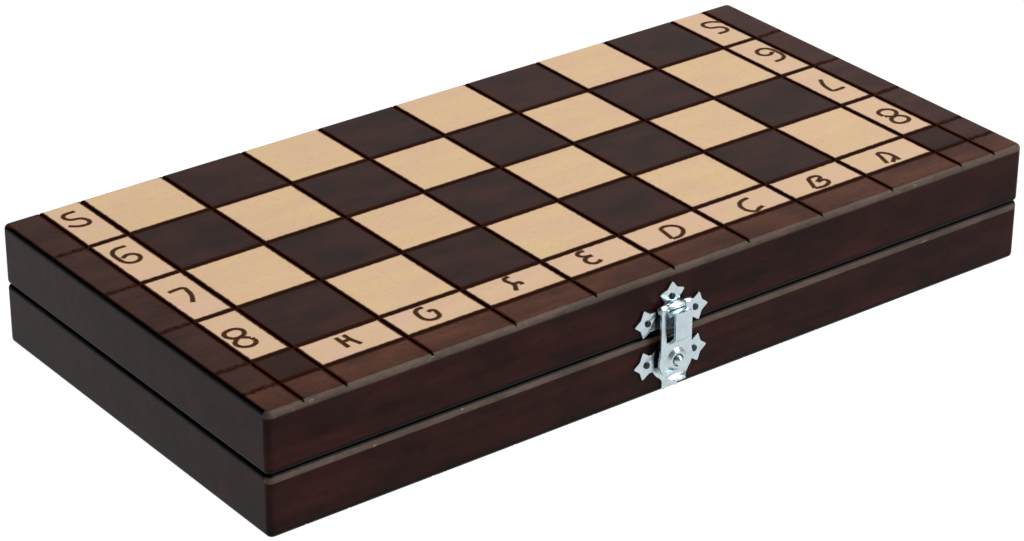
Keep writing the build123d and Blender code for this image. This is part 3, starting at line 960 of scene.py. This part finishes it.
def plated(name, pale, deep, roughness, shaded_behind_hasp=False):
    """A bright or blued metal whose colour and roughness are slightly cloudy."""
    made, tree, shader = new_material(name, Metallic=1.0)
    place, (x, y, z) = millimetres(tree)
    cloud = add(tree, "ShaderNodeTexNoise", place, at={"Scale": CLOUDS_PER_MM, "Detail": 3.0})
    scratch = streaks(tree, place, SCRATCH, detail=1.0)
    tones = {UNDER: tone(pale), OVER: tone(deep)}
    colour = add(tree, "ShaderNodeMix", cloud, at=tones, **COLOURS)
    # Painted shade where the closed hasp covers the plates.
    if shaded_behind_hasp:
        hasp_shade = behind_hasp(tree, x, y, z)
        tones = {UNDER: colour, OVER: tone(HASP_SHADE)}
        colour = add(tree, "ShaderNodeMix", hasp_shade, at=tones, **COLOURS)
    tree.links.new(colour, shader.inputs["Base Color"])
    both = add(tree, "ShaderNodeMath", cloud, scratch, operation="ADD")
    gloss = (*CLOUD_SPAN, roughness - SMOOTHER, roughness + ROUGHER)
    rough = add(tree, "ShaderNodeMapRange", both, *gloss)
    tree.links.new(rough, shader.inputs["Roughness"])
    relief = add(tree, "ShaderNodeBump", at={**SCRATCH_RELIEF, "Height": scratch})
    tree.links.new(relief, shader.inputs["Normal"])
    print(name, "roughness", roughness)
    return made


zinc = plated("zinc_plated_pressed_steel", *ZINC)
plate_zinc = plated("zinc_plate_with_painted_hasp_shade", *ZINC, shaded_behind_hasp=True)
dull_zinc = plated("zinc_plated_hinge_steel", *DULL_ZINC)
nail_steel = plated("blued_nail_steel", *BLUED_STEEL)

# %% [markdown]
# ## Soft metal edges
# Pressing and plating leave every edge of the clasp a little round, and a round edge is what
# catches the light. Such fine rounds could be cut in the solids, but they would make them heavy
# for no gain. So each clasp piece is copied from its solid, its doubled corners are merged, a
# small bevel runs round it, and the copy stands for the solid.

# %% Soften the clasp
EDGE_SOFTEN = 0.12
EDGE_STEPS = 2
DOUBLED = 0.002
FLAT_ANGLE = math.radians(1)
SHARP_ANGLE = math.radians(35)


def softened(node, body, material):
    """Makes a copy of a metal piece with its sharp edges rounded, to stand for the solid."""
    mesh = pieces[node].data.copy()
    work = bmesh.new()
    work.from_mesh(mesh)
    bmesh.ops.remove_doubles(work, verts=work.verts, dist=DOUBLED * MM)
    bmesh.ops.dissolve_limit(work, angle_limit=FLAT_ANGLE, verts=work.verts, edges=work.edges)
    work.to_mesh(mesh)
    work.free()
    mesh.materials.clear()
    mesh.materials.append(material)
    mesh.shade_smooth()
    made = bpy.data.objects.new(node + "_softened", mesh)
    bpy.context.scene.collection.objects.link(made)
    bevel = made.modifiers.new("edges", "BEVEL")
    bevel.width = EDGE_SOFTEN * MM
    bevel.segments = EDGE_STEPS
    bevel.limit_method = "ANGLE"
    bevel.angle_limit = SHARP_ANGLE
    bevel.harden_normals = True
    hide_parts(node)
    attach(made, body)
    print(made.name, len(mesh.polygons), "faces before its bevel")


softened("latch_upper_plate", "upper_half", plate_zinc)
softened("latch_lower_plate", "lower_half", plate_zinc)
softened("latch_pin", "upper_half", zinc)
softened("latch_knob", "lower_half", zinc)
softened("latch_hasp", "latch_hasp", zinc)

# %% Finish the hinges and nails
hinge_pieces = [name for name in pieces if name.startswith("hinge_")]
nail_pieces = [name for name in pieces if name.endswith("_nails")]
for name in hinge_pieces:
    finish(pieces[name], dull_zinc)
for name in nail_pieces:
    finish(pieces[name], nail_steel)
print(len(hinge_pieces), "hinge pieces and", len(nail_pieces), "sets of nails")
